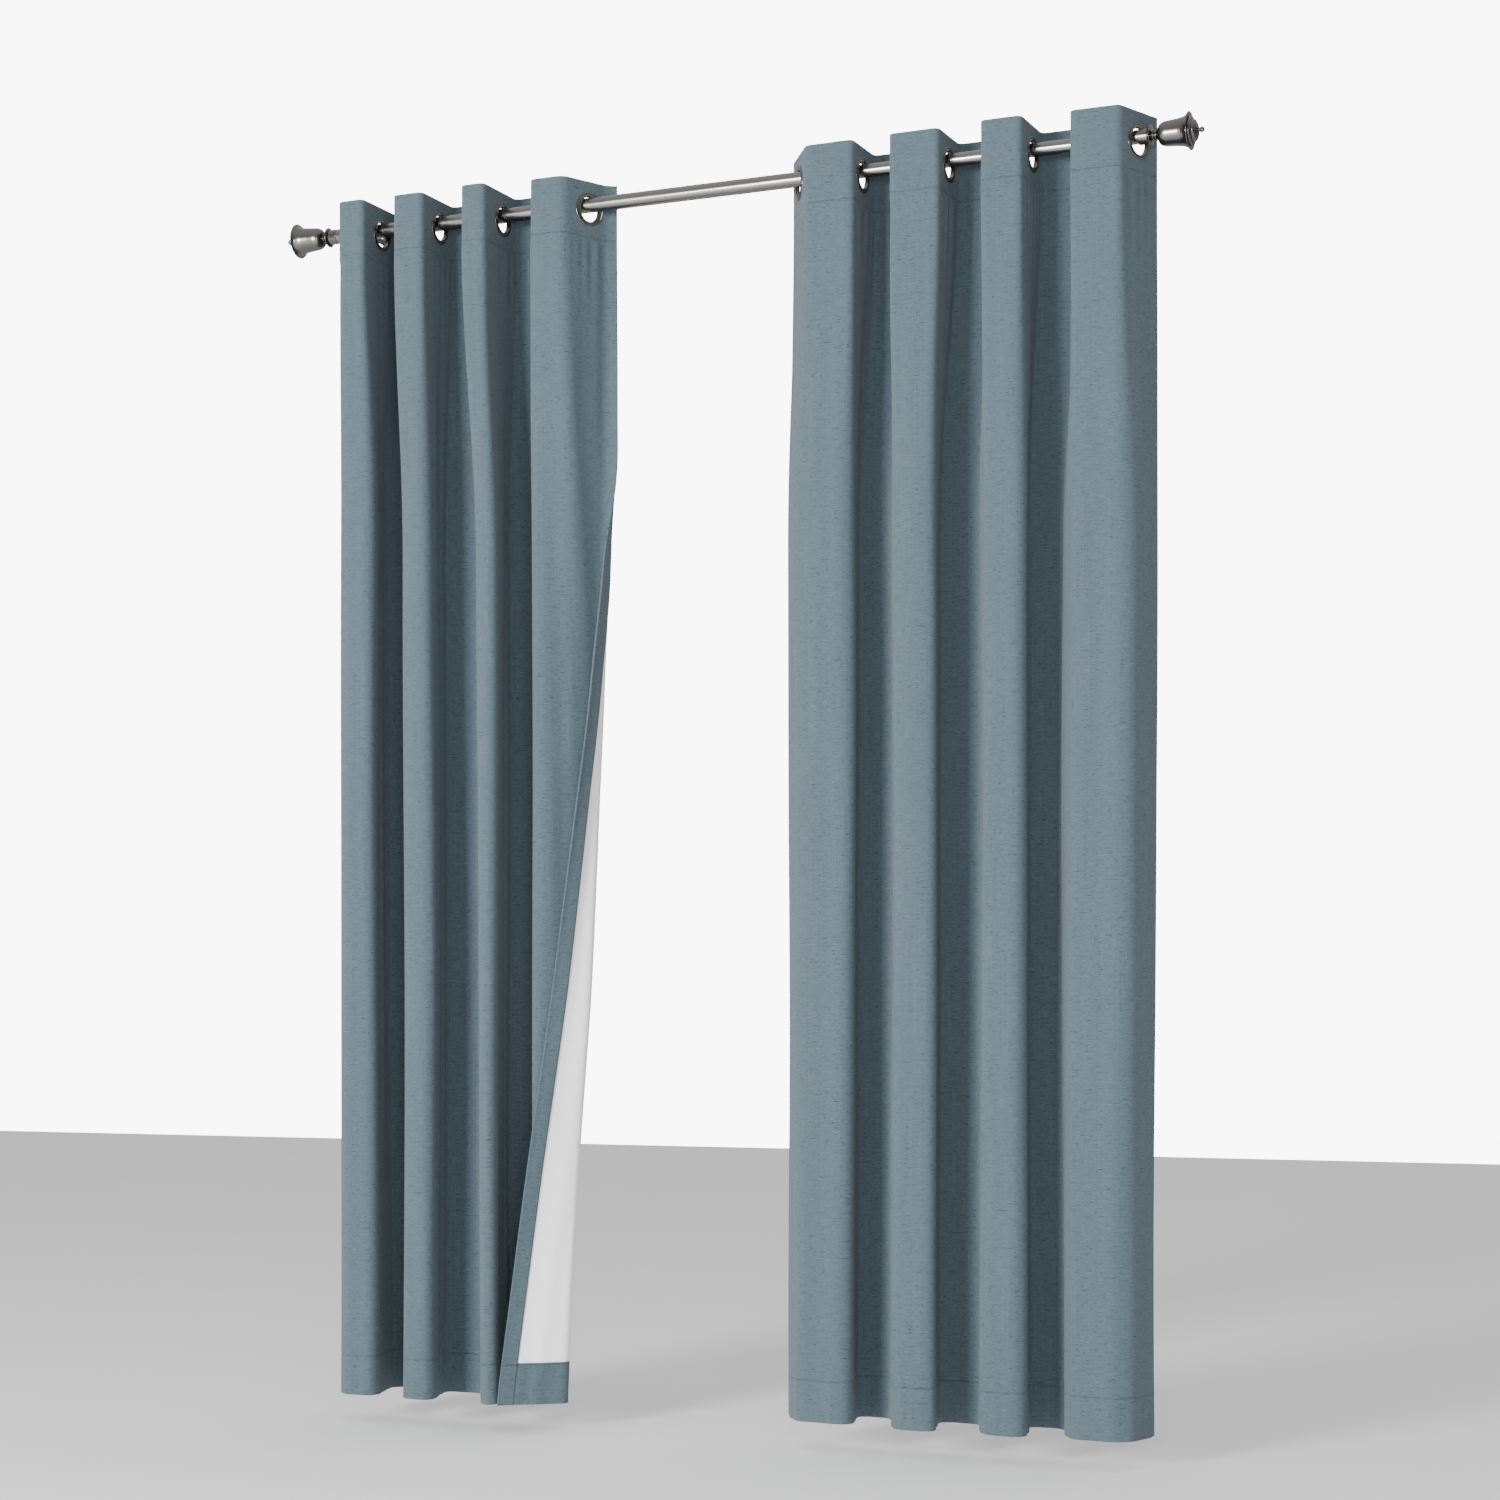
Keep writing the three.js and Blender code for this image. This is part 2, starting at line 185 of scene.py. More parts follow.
def softened(points, radius, steps=5):
    """A profile with each inner corner turned into a quadratic curve of about the given radius, and a
    point kept just outside it at each end so that the flats shade flat."""
    points = [np.array(p, float) for p in points]
    out = [points[0]]
    for before, corner, after in zip(points, points[1:], points[2:]):
        a, b = before - corner, after - corner
        la, lb = np.linalg.norm(a), np.linalg.norm(b)
        r = min(radius, 0.36 * la, 0.36 * lb)
        start, end = corner + a / la * r, corner + b / lb * r
        out.append(corner + a / la * r * 1.3)
        for t in np.linspace(0, 1, steps):
            out.append((1 - t) ** 2 * start + 2 * t * (1 - t) * corner + t * t * end)
        out.append(corner + b / lb * r * 1.3)
    out.append(points[-1])
    return np.array(out)


def lathe(name, profile, material, origin, axis, sides=96, ring=False):
    """A turned piece: the (radius, height) profile swept round the axis through origin. A profile that
    starts and ends on the axis closes with fans; with ring, the last point joins the first."""
    profile = np.asarray(profile, float)
    axis = np.array(axis, float) / np.linalg.norm(axis)
    side = np.cross(axis, [0, 0, 1.0]) if abs(axis[2]) < 0.9 else np.array([1.0, 0, 0])
    side /= np.linalg.norm(side)
    up = np.cross(axis, side)
    turn = np.linspace(0, 2 * math.pi, sides, endpoint=False)
    spokes = np.cos(turn)[:, None] * side + np.sin(turn)[:, None] * up
    body = profile if ring else profile[1:-1]
    points = body[:, None, 0, None] * spokes[None] + body[:, None, 1, None] * axis + np.array(origin)
    points = points.reshape(-1, 3)
    faces = [grid_quads(len(body), sides, close_rows=ring, close_columns=True)]
    if not ring:
        first, last = len(points), len(points) + 1
        ends = np.array([profile[0, 1], profile[-1, 1]])[:, None] * axis + np.array(origin)
        points = np.concatenate([points, ends])
        j = np.arange(sides)
        j2 = (j + 1) % sides
        row = (len(body) - 1) * sides
        faces.append(np.stack([j2, j, np.full(sides, first)], 1))
        faces.append(np.stack([row + j, row + j2, np.full(sides, last)], 1))
    return make_mesh(name, points, faces, material)


def ladder(count):
    """Quads that cap a ribbon's outline, whose points go out along one side and back along the other."""
    i = np.arange(count // 2 - 1)
    return np.stack([i, i + 1, count - 2 - i, count - 1 - i], 1)


def ribbon_outline(path, thick):
    """Both sides of a path in a plane, half of thick away from it: out along one side and back along the
    other."""
    path = np.asarray(path, float)
    along = np.gradient(path, axis=0)
    along /= np.linalg.norm(along, axis=1)[:, None]
    off = np.stack([-along[:, 1], along[:, 0]], 1) * thick / 2
    return np.concatenate([path + off, (path - off)[::-1]])


def ribbon_faces(count, columns):
    """All faces of a ribbon: its outline closed on itself, extruded over columns, with a cap at each end.
    Also gives which faces are its thin edges and caps, which are left flat."""
    quads = grid_quads(count, columns, close_rows=True)
    caps = ladder(count)
    faces = np.concatenate([quads, caps * columns, caps[:, ::-1] * columns + columns - 1])
    per = columns - 1
    edges = np.concatenate([np.arange(per) + (count // 2 - 1) * per, np.arange(per) + (count - 1) * per])
    return faces, np.concatenate([edges, np.arange(len(quads), len(faces))])


# ---------- shaders ----------


def math_method(operation, reflected=False):
    """A method that adds a Math node on a value and the other terms, the other way round if reflected."""

    def method(self, *others):
        """The node's result."""
        terms = (*others, self) if reflected else (self, *others)
        return self.shader.node("ShaderNodeMath", {"operation": operation}, dict(enumerate(terms))).out(0)

    return method


class Value:
    """A number in a shader; arithmetic on it adds Math nodes."""

    __add__ = __radd__ = math_method("ADD")
    __mul__ = __rmul__ = math_method("MULTIPLY")
    __sub__, __rsub__ = math_method("SUBTRACT"), math_method("SUBTRACT", True)
    __truediv__, __rtruediv__ = math_method("DIVIDE"), math_method("DIVIDE", True)
    sine, size = math_method("SINE"), math_method("ABSOLUTE")

    def __init__(self, shader, socket):
        self.shader, self.socket = shader, socket

    def between(self, low, high):
        """0 below low, 1 above high, smooth in between."""
        ranged = self.shader.node(
            "ShaderNodeMapRange",
            {"interpolation_type": "SMOOTHSTEP", "clamp": True},
            {0: self, 1: low, 2: high, 3: 0.0, 4: 1.0},
        )
        return ranged.out(0)


class Node:
    """A node that has been added to a shader."""

    def __init__(self, shader, node):
        self.shader, self.node = shader, node

    def out(self, which):
        """One of its outputs, by number or name."""
        return Value(self.shader, self.node.outputs[which])


class Shader:
    """The node tree of one material, or of another owner such as the world."""

    def __init__(self, name, owner=None):
        self.owner = owner or bpy.data.materials.new(name)
        self.owner.use_nodes = True
        self.tree = self.owner.node_tree
        self.tree.nodes.clear()

    def node(self, kind, settings=None, inputs=None):
        """Adds a node: its type, then its settings, then its sockets' values or links."""
        node = self.tree.nodes.new(kind)
        for key, value in (settings or {}).items():
            setattr(node, key, value)
        for key, value in (inputs or {}).items():
            if isinstance(value, Value):
                self.tree.links.new(value.socket, node.inputs[key])
            else:
                node.inputs[key].default_value = value
        return Node(self, node)

    def place(self, uv=False):
        """The point on the piece: object coordinates, or its cloth map in metres."""
        if uv:
            return self.node("ShaderNodeUVMap", {"uv_map": "cloth"}).out(0)
        return self.node("ShaderNodeTexCoord").out("Object")

    def stretched(self, vector, x, y, z):
        """The vector times (x, y, z), part by part."""
        product = self.node("ShaderNodeVectorMath", {"operation": "MULTIPLY"}, {0: vector, 1: (x, y, z)})
        return product.out(0)

    def parts(self, vector):
        """The vector's x, y and z."""
        split = self.node("ShaderNodeSeparateXYZ", None, {0: vector})
        return split.out(0), split.out(1), split.out(2)

    def noise(self, vector, scale=1.0, detail=2.0, rough=0.5):
        """Smooth noise of 0..1 at the vector, with scale cells for each unit."""
        made = self.node(
            "ShaderNodeTexNoise",
            {"noise_dimensions": "3D"},
            {"Vector": vector, "Scale": scale, "Detail": detail, "Roughness": rough},
        )
        return made.out(0)

    def colour(self, share, a, b):
        """Colour a, and colour b by the given share."""
        mixed = self.node("ShaderNodeMix", {"data_type": "RGBA"}, {0: share, 6: a, 7: b})
        return mixed.out(2)

    def bump(self, height, distance, strength=1.0):
        """The normal over a relief whose height of 1 stands for distance."""
        relief = {"Height": height, "Distance": distance, "Strength": strength}
        return self.node("ShaderNodeBump", None, relief).out(0)

    def finish(self, **inputs):
        """The surface: words in the sockets' names are joined by underscores."""
        given = {key.replace("_", " "): value for key, value in inputs.items()}
        surface = self.node("ShaderNodeBsdfPrincipled", None, given)
        self.node("ShaderNodeOutputMaterial", None, {0: surface.out(0)})
        return self.owner


def fabric_material(name, face, dark, pale):
    """Slubby plain weave read from the cloth map: fine ribs across, threads of uneven thickness, dark and
    pale flecks drawn out along the weft, faint streaks down the warp, and painted shadow along the header and
    hem stitching."""
    s = Shader(name)
    where = s.place(uv=True)
    across, up, _ = s.parts(where)
    # threads: about 1.4 per millimetre across, 1.1 up, each a little wavy
    sway = s.noise(s.stretched(where, 90, 90, 1), detail=1.0)
    weft = (up * 7200 + sway * 5.0).sine()
    warp = (across * 8800 + sway * 4.0).sine()
    weave = weft * 0.6 + warp * 0.4
    # slubs: long thin noise along the weft, in three lengths
    long_slub = s.noise(s.stretched(where, 48, 360, 1), detail=3.0, rough=0.65)
    short_slub = s.noise(s.stretched(where, 125, 520, 1), detail=3.0, rough=0.65)
    fine_slub = s.noise(s.stretched(where, 330, 1500, 1), detail=2.0, rough=0.7)
    ribs_across = s.noise(s.stretched(where, 8, 900, 1), detail=3.0, rough=0.7)
    streak = s.noise(s.stretched(where, 420, 4, 1), detail=3.0, rough=0.7)
    cloudy = s.noise(s.stretched(where, 9, 6, 1), detail=3.0)
    # painted shadow: narrow dark bands along the header and hem stitching lines, standing in for the shade of
    # the seams' puckers
    painted_seam_shadow = 1.0 - ((up - HEADER_STITCH).size().between(0.0003, 0.0022)
                   * (up - HEM_STITCH).size().between(0.0003, 0.0022))
    flecks = long_slub.between(0.57, 0.66) * 0.6 + short_slub.between(0.58, 0.67) * 0.9
    lights = (1.0 - long_slub).between(0.55, 0.67) * 0.5 + (1.0 - short_slub).between(0.56, 0.68) * 0.5
    dark_share = flecks * 0.85 + streak.between(0.50, 0.72) * 0.25 + ribs_across.between(0.5, 0.7) * 0.22
    base = s.colour((dark_share + painted_seam_shadow * 0.45).between(0.0, 1.15), face, dark)
    base = s.colour(lights * 0.55 + (1.0 - streak).between(0.52, 0.75) * 0.2, base, pale)
    shade = 0.90 + cloudy * 0.12 + fine_slub * 0.22 - 0.08 + weave * 0.05
    tinted = s.node("ShaderNodeVectorMath", {"operation": "SCALE"}, {0: base, "Scale": shade}).out(0)
    height = (weave * 0.3 + long_slub * 1.5 + short_slub * 1.5 + fine_slub * 0.9 + streak * 0.5
              + ribs_across * 0.5)
    return s.finish(
        Base_Color=tinted,
        Roughness=0.82 + fine_slub * 0.12,
        Specular_IOR_Level=0.2,
        Sheen_Weight=0.18,
        Sheen_Roughness=0.55,
        Sheen_Tint=(0.72, 0.80, 0.86, 1.0),
        Normal=s.bump(height, 0.0005, 1.0),
    )


def lining_material():
    """Matt off-white lining: a close even weave with only slight unevenness."""
    s = Shader("curtain lining")
    where = s.place(uv=True)
    across, up, _ = s.parts(where)
    sway = s.noise(s.stretched(where, 60, 60, 1), detail=1.0)
    weave = (up * 11000 + sway * 4.0).sine() * 0.5 + (across * 11000 + sway * 3.0).sine() * 0.5
    slub = s.noise(s.stretched(where, 90, 1300, 1), detail=2.0)
    cloudy = s.noise(s.stretched(where, 7, 5, 1), detail=3.0)
    uneven = slub.between(0.5, 0.75) * 0.5 + cloudy * 0.25
    base = s.colour(uneven, (0.88, 0.88, 0.885, 1), (0.79, 0.80, 0.81, 1))
    return s.finish(
        Base_Color=base,
        Roughness=0.88 + slub * 0.08,
        Specular_IOR_Level=0.2,
        Sheen_Weight=0.08,
        Normal=s.bump(weave * 0.3 + slub * 0.8, 0.0002, 0.7),
    )


def metal_material(name, tone, along, rough, depth=1.0, dark=(0.07, 0.066, 0.062, 1)):
    """Satin nickel: fine brush lines drawn out along one axis, cloudy polish, and a few small scuffs."""
    s = Shader(name)
    where = s.place()
    brushed = s.noise(s.stretched(where, *along), detail=3.0, rough=0.65)
    cloudy = s.noise(where, 22.0, 3.0)
    scuffs = s.noise(s.stretched(where, 180, 420, 300), detail=2.0).between(0.66, 0.78)
    polish = rough + (brushed - 0.5) * 0.16 + (cloudy - 0.5) * 0.12 + scuffs * 0.08
    base = s.colour((1.0 - brushed).between(0.35, 0.95) * 0.35 + scuffs * 0.12, tone, dark)
    return s.finish(
        Base_Color=base,
        Metallic=1.0,
        Roughness=polish,
        Normal=s.bump(brushed + scuffs * 0.4, 0.00005 * depth, 0.5),
    )


def thread_material(name, tone):
    """Twisted sewing thread: fine slanted plies."""
    s = Shader(name)
    where = s.place()
    x, y, z = s.parts(where)
    plies = ((x + y) * 9000 + z * 9000).sine()
    fuzz = s.noise(where, 2500.0, 1.0)
    base = s.colour(fuzz * 0.6 + plies * 0.1 + 0.1, tone, tuple(c * 0.55 for c in tone[:3]) + (1,))
    return s.finish(
        Base_Color=base, Roughness=0.7 + fuzz * 0.2, Sheen_Weight=0.2, Normal=s.bump(plies, 0.00004, 0.6)
    )


face_fabric = fabric_material(
    "slate blue curtain fabric", (0.067, 0.100, 0.120, 1), (0.014, 0.024, 0.030, 1), (0.125, 0.168, 0.194, 1)
)
lining = lining_material()
nickel = metal_material("brushed nickel", (0.22, 0.213, 0.205, 1), (14, 1500, 1500), 0.24)
turned_nickel = metal_material("turned satin nickel", (0.155, 0.147, 0.138, 1), (1600, 60, 60), 0.22)
grommet_nickel = metal_material("grommet nickel", (0.20, 0.18, 0.16, 1), (300, 300, 300), 0.18, 0.6)
steel = metal_material("bracket steel", (0.55, 0.55, 0.55, 1), (900, 90, 90), 0.40)
blue_thread = thread_material("slate sewing thread", (0.10, 0.135, 0.16, 1))


# ---------- how the cloth hangs ----------

# levels of the layout: close together in the header, wider below
LEVELS = np.concatenate([np.linspace(TOP, HEADER, 6), np.linspace(HEADER, HEM, 112)[1:]])


def swept(angle, u):
    """Points reached by following the direction angle along the cloth: running sums of cosine and sine."""
    step = np.diff(u)[None, :]
    mid = (angle[:, 1:] + angle[:, :-1]) / 2
    zero = np.zeros((len(angle), 1))
    t = np.concatenate([zero, np.cumsum(np.cos(mid) * step, 1)], 1)
    d = np.concatenate([zero, np.cumsum(np.sin(mid) * step, 1)], 1)
    return t, d


def fold(span, rise, start, enter, leave, towards, corner):
    """One fold between two grommets, at every level: towards is -1 for the room and +1 for the wall.
    The direction holds at the first grommet's, eases to the rod's own direction along the crest, and
    eases again to the second grommet's. The crest's depth is halved in until the cloth between the
    grommets just reaches from one to the other."""
    u = np.linspace(0, PITCH, BASE_COLUMNS + 1)
    low, high = np.full_like(span, 0.002), np.full_like(span, 0.085)

    def direction(depth):
        """The cloth's angle to the rod for a crest at this depth."""
        first = (depth - towards * start) / np.sin(enter)
        last = PITCH - (depth - towards * (start + rise)) / np.sin(leave)
        down = enter * (1 - ease((u[None] - first) / corner + 0.5))
        back = leave * ease((u[None] - last) / corner + 0.5)
        return towards * (down - back)

    for _ in range(36):
        depth = (low + high) / 2
        t, _ = swept(direction(depth), u)
        wide = t[:, -1:] > span
        low, high = np.where(wide, depth, low), np.where(wide, high, depth)
    angle = direction(depth)
    t, d = swept(angle, u)
    share = ease(u[None] / PITCH)
    return u, t + (span - t[:, -1:]) * share, d + (rise - d[:, -1:]) * share, angle


def smoothed(values, width):
    """Running averages down the levels, so that values given at a few heights change gently."""
    kernel = np.hanning(2 * width + 1)
    kernel /= kernel.sum()
    padded = np.concatenate([np.full(width, values[0]), values, np.full(width, values[-1])])
    return np.convolve(padded, kernel, "valid")


def loose_fold(t0, d0):
    """The left panel's last fold and leading edge in one run: the direction starts towards the room and
    eases through three bends, whose places and strengths change down the drop."""
    u = np.concatenate([
        np.linspace(0, PITCH, BASE_COLUMNS + 1),
        np.linspace(PITCH, PITCH + MARGIN, MARGIN_COLUMNS + 1)[1:],
    ])
    heights = [-row[0] for row in FLAP]
    hold = ease((HEADER - LEVELS) / 0.06)
    below = ease((HEADER - LEVELS) / 0.5)[:, None]
    direction, before = -90.0, -90.0
    for bend in range(3):
        place, after = (
            row[0] + (smoothed(np.interp(-LEVELS, heights, row), 5) - row[0]) * hold
            for row in ([values[1 + 2 * bend + part] for values in FLAP] for part in range(2))
        )
        width = 0.030 + (0.016, 0.006, 0.018)[bend] * below
        turned = ease((u[None] - place[:, None] * MM) / width + 0.5)
        direction = direction + (after[:, None] - before) * turned
        before = after[:, None]
    angle = np.radians(direction)
    t, d = swept(angle, u)
    return u, t0 + t, d0 + d, angle


def lay_out(panel):
    """The panel's cloth seen from above, at every level: nine runs, from the outer side edge over seven
    folds to the leading side edge, each as distances along the rod and towards the wall, and the line
    of each grommet."""
    rng = np.random.default_rng(panel["seed"])
    falls = np.clip((HEADER - LEVELS) / (HEADER - HEM), 0, 1)[:, None]
    relax = ease((HEADER - LEVELS) / 0.55)[:, None]
    first = panel["top"][0]
    ring_t, ring_d = [], []
    for k in range(8):
        wander = np.sin(falls * (4 + 3 * rng.random()) + 6 * rng.random()) * 1.6 * relax
        wander = wander * (0 if panel["flap"] and k >= 6 else 1)
        drift = falls if panel["flap"] else relax
        ring_t.append((first - panel["top"][k] + (panel["top"][k] - panel["hem"][k]) * drift + wander) * MM)
        sag = np.sin(falls * (5 + 3 * rng.random()) + 6 * rng.random()) * 1.5 * relax
        ring_d.append((panel["back"][k] * falls + sag) * MM)
    # below the header the folds lean to the right, so that each one's right wall tucks in behind its crest
    openness = []
    for k, turn in enumerate(panel["turn"]):
        tucked = (k % 2 == 0) == (panel["side"] > 0)
        leans = turn == 0 and not (panel["flap"] and k == 6)
        openness.append(np.radians(90 - turn + (17 if tucked else -22) * relax * leans))
    corner = 0.018 + 0.028 * relax
    runs = []
    u = np.linspace(-MARGIN, 0, MARGIN_COLUMNS + 1)
    angle = -openness[0] - 0.5 * relax * ease(-u[None] / MARGIN)
    t, d = swept(angle, u)
    runs.append((u, ring_t[0] + t - t[:, -1:], ring_d[0] + d - d[:, -1:], angle))
    for k in range(7):
        if panel["flap"] and k == 6:
            u, t, d, angle = loose_fold(ring_t[6], ring_d[6])
            n = BASE_COLUMNS + 1
            runs.append((u[:n], t[:, :n], d[:, :n], angle[:, :n]))
            runs.append((u[n - 1:] - PITCH, t[:, n - 1:], d[:, n - 1:], angle[:, n - 1:]))
            break
        towards = -1 if k % 2 == 0 else 1
        span, rise = ring_t[k + 1] - ring_t[k], ring_d[k + 1] - ring_d[k]
        u, t, d, angle = fold(span, rise, ring_d[k], openness[k], openness[k + 1], towards, corner)
        runs.append((u, ring_t[k] + t, ring_d[k] + d, angle))
    if not panel["flap"]:
        u = np.linspace(0, MARGIN, MARGIN_COLUMNS + 1)
        angle = openness[7] + 0.35 * relax * ease(u[None] / MARGIN)
        t, d = swept(angle, u)
        runs.append((u, ring_t[7] + t, ring_d[7] + d, angle))
    return runs, ring_t


def wrinkles(panel, along, z):
    """How far the cloth stands out from its layout: slow waves down the drop, short puckers just under
    the header, and slight gathers at the bottom hem. along is measured over the whole panel."""
    rng = np.random.default_rng(panel["seed"] + 50)
    below = HEADER - z
    fallen = np.clip(below, 0, None)
    body = ease((below - 0.01) / 0.30)
    out = 0
    for wavelength, tall in [(0.150, 1.5), (0.085, 1.4), (0.052, 1.0), (0.036, 0.55)]:
        drift = rng.uniform(-0.5, 0.5)
        beat = z * rng.uniform(2.5, 6) + rng.uniform(0, 6) + along * rng.uniform(4, 14)
        beat = 0.6 + 0.4 * np.sin(beat)
        out = out + tall * beat * np.sin(2 * np.pi * (along / wavelength + drift * z) + rng.uniform(0, 6))
    out = out * body
    reach = np.exp(-fallen / 0.075) * ease(below / 0.02)
    where = np.sin(2 * np.pi * along / 0.17 + rng.uniform(0, 6)) * 0.5 + 0.6
    out = out + 1.9 * reach * where * np.sin(2 * np.pi * (along / 0.023 + np.sin(along * 31) * 0.6))
    # a pair of narrow pleats nipped in by the header seam, in the middle of each fold towards the wall
    fold_share = ((along - MARGIN) / PITCH) % 2 - 1.5
    for offset, tall in ((-0.09, 5.5), (0.07, -4.2)):
        off = (fold_share - offset) * PITCH / 0.0075
        out = out + tall * off * np.exp(-(off**2) - fallen / 0.09) * ease(below / 0.012)
    at_hem = ease((HEM + 0.11 - z) / 0.05)
    out = out + 0.45 * at_hem * np.sin(2 * np.pi * (along / 0.024 + 0.8 * np.sin(along * 23)))
    return out * MM


class Cloth:
    """One run of a panel's cloth: turns (distance along it, height, stand-off) into points."""

    def __init__(self, panel, index, run):
        self.panel, self.index = panel, index
        self.u, self.t, self.d, self.angle = run
        self.from_edge = MARGIN + (PITCH * (index - 1) if index else 0)

    def sample(self, field, u, z):
        """Straight-line interpolation in the run's table, between levels and along the cloth."""
        level = np.interp(-z, -LEVELS, np.arange(len(LEVELS)))
        place = np.interp(u, self.u, np.arange(len(self.u)))
        i = np.clip(level.astype(int), 0, len(LEVELS) - 2)
        j = np.clip(place.astype(int), 0, len(self.u) - 2)
        fi, fj = level - i, place - j
        low = field[i, j] * (1 - fj) + field[i, j + 1] * fj
        high = field[i + 1, j] * (1 - fj) + field[i + 1, j + 1] * fj
        return low * (1 - fi) + high * fi

    def points(self, u, z, n):
        """Points at stand-off n on the face side; arrays of one shape in, the same shape of points out."""
        u, z, n = np.broadcast_arrays(u, z, n)
        t, d, angle = (self.sample(f, u, z) for f in (self.t, self.d, self.angle))
        n = n + wrinkles(self.panel, self.from_edge + u, z)
        side, first = self.panel["side"], self.panel["top"][0] * MM
        x = side * (first - t - n * np.sin(angle))
        return np.stack([x, ROD_Y + d - n * np.cos(angle), z], -1)

    def reach(self, z):
        """Where this run starts and ends at each height: at its grommets' lines, or round their holes."""
        hole = np.sqrt(np.clip(HOLE_R**2 - (z - RING_Z) ** 2, 0, None))
        low, high = np.full_like(z, self.u[0]), np.full_like(z, self.u[-1])
        if self.index > 0:
            low = low + hole
        if self.index < 8:
            high = high - hole
        return low, high


def header_heights():
    """Rows across the header, from its top down, following the round holes."""
    hole = RING_Z + HOLE_R * np.cos(np.linspace(0, np.pi, 23))
    above = np.linspace(TOP - 0.0028, hole[0], 5)[:-1]
    under = np.array([-0.036, -0.042, -0.049, -0.0535, -0.055, -0.0565])
    return np.concatenate([above, hole, under])


def drop_heights():
    """Rows from under the header to the bottom hem's stitching."""
    body = np.linspace(-0.060, HEM + 0.080, 172)
    return np.concatenate([body, HEM + np.array([0.0715, 0.070, 0.0685])])


def hem_heights():
    """Rows from the bottom hem's stitching to its turned edge."""
    return np.linspace(HEM + 0.060, HEM + 0.0028, 8)


def fabric_path():
    """The face fabric seen edge on, as (stand-off, height): from its raw edge inside the bottom hem, down
    and round to the face, up the face, over the top, and down the back of the header."""
    arc = np.linspace(0, np.pi, 9)
    middle, radius = (FRONT_N + BACK_N) / 2, (FRONT_N - BACK_N) / 2
    up_hem = hem_heights()
    back_hem = np.concatenate([[HEM + HEM_TURNUP, HEM + 0.0715, HEM + 0.070, HEM + 0.0685], up_hem])
    turn = np.stack([middle - radius * np.cos(arc), HEM + 0.0014 - radius * np.sin(arc)], 1)
    front = np.concatenate([header_heights(), drop_heights(), up_hem])[::-1]
    over = np.stack([middle + radius * np.cos(arc), TOP - 0.0014 + radius * np.sin(arc)], 1)
    back = np.concatenate([header_heights(), [HEADER]])

    def dip(z):
        """How far the stitching pulls the cloth in, at each height."""
        return sum(0.5 * MM * np.exp(-(((z - line) / 0.0012) ** 2)) for line in (HEADER_STITCH, HEM_STITCH))

    return np.concatenate([
        np.stack([BACK_N + dip(back_hem), back_hem], 1), turn,
        np.stack([FRONT_N - dip(front), front], 1), over,
        np.stack([BACK_N + dip(back), back], 1),
    ])


def match_ends(obj, cloth, u, z, n):
    """Gives a run's two end lines the whole panel's normals, so that neighbouring runs shade as one piece:
    the cross product of the slopes along the cloth and down it, turned to the side that the mesh faces."""
    mesh = obj.data
    made = np.empty(len(mesh.vertices) * 3, np.float32)
    mesh.vertex_normals.foreach_get("vector", made)
    made = made.reshape(*u.shape, 3)
    given = np.zeros_like(made)
    step = 0.001
    z, n = np.broadcast_arrays(z, n, u)[:2]
    for column, inner in ((0, 1), (-1, -2)):
        at, high, off = u[:, column], z[:, column], n[:, column]
        angle = cloth.sample(cloth.angle, at, high)
        side = cloth.panel["side"]
        place = cloth.from_edge + at
        rise = wrinkles(cloth.panel, place + step, high) - wrinkles(cloth.panel, place - step, high)
        level = np.zeros_like(at)
        along = np.stack([-side * np.cos(angle), np.sin(angle), level], -1)
        outward = np.stack([-side * np.sin(angle), -np.cos(angle), level], -1)
        along = along + rise[:, None] / (2 * step) * outward
        down = cloth.points(at, high + step, off) - cloth.points(at, high - step, off)
        normal = np.cross(along, down)
        normal /= np.linalg.norm(normal, axis=1)[:, None]
        agrees = (normal * made[:, inner]).sum(1)
        # on a turned hem the two disagree, and the mesh's own normal stays
        kept = np.where(np.abs(agrees) > 0.8, np.sign(agrees), 0)
        given[:, column] = normal * kept[:, None]
    mesh.normals_split_custom_set_from_vertices(given.reshape(-1, 3).tolist())


def column_shares(index):
    """Columns over a run, as shares of its width: fewer in the narrow edge runs."""
    count = 15 if index in (0, 8) else 49
    return np.linspace(0, 1, count)


def fabric_piece(name, cloth):
    """Face fabric of one run: the edge-on path given its thickness, swept along the cloth between the
    grommet lines, and round the grommets' holes where it passes them."""
    outline = ribbon_outline(fabric_path(), CLOTH_THICK)
    n, z = outline[:, :1], outline[:, 1:]
    low, high = cloth.reach(z)
    u = low + (high - low) * column_shares(cloth.index)[None]
    points = cloth.points(u, z, n)
    faces, flat = ribbon_faces(len(outline), u.shape[1])
    uv = np.stack([cloth.from_edge + u, np.broadcast_to(z, u.shape)], -1)
    piece = make_mesh(name, points, [faces], face_fabric, uv, flat)
    match_ends(piece, cloth, u, z, n)
    return piece


def lining_piece(name, cloth):
    """Lining of one run: a thin sheet between the header facing and the bottom hem, tucked under both."""
    z = np.concatenate([np.linspace(HEADER + 0.010, -0.062, 3), drop_heights()[:-3], [HEM + 0.063]])
    outline = ribbon_outline(np.stack([np.zeros_like(z), z], 1), LINING_THICK)
    n, z = outline[:, :1], outline[:, 1:]
    u = cloth.u[0] + (cloth.u[-1] - cloth.u[0]) * column_shares(cloth.index)[None] + 0 * z
    points = cloth.points(u, z, n)
    faces, flat = ribbon_faces(len(outline), u.shape[1])
    uv = np.stack([cloth.from_edge + u, np.broadcast_to(z, u.shape)], -1)
    piece = make_mesh(name, points, [faces], lining, uv, flat)
    match_ends(piece, cloth, u, z, n)
    return piece


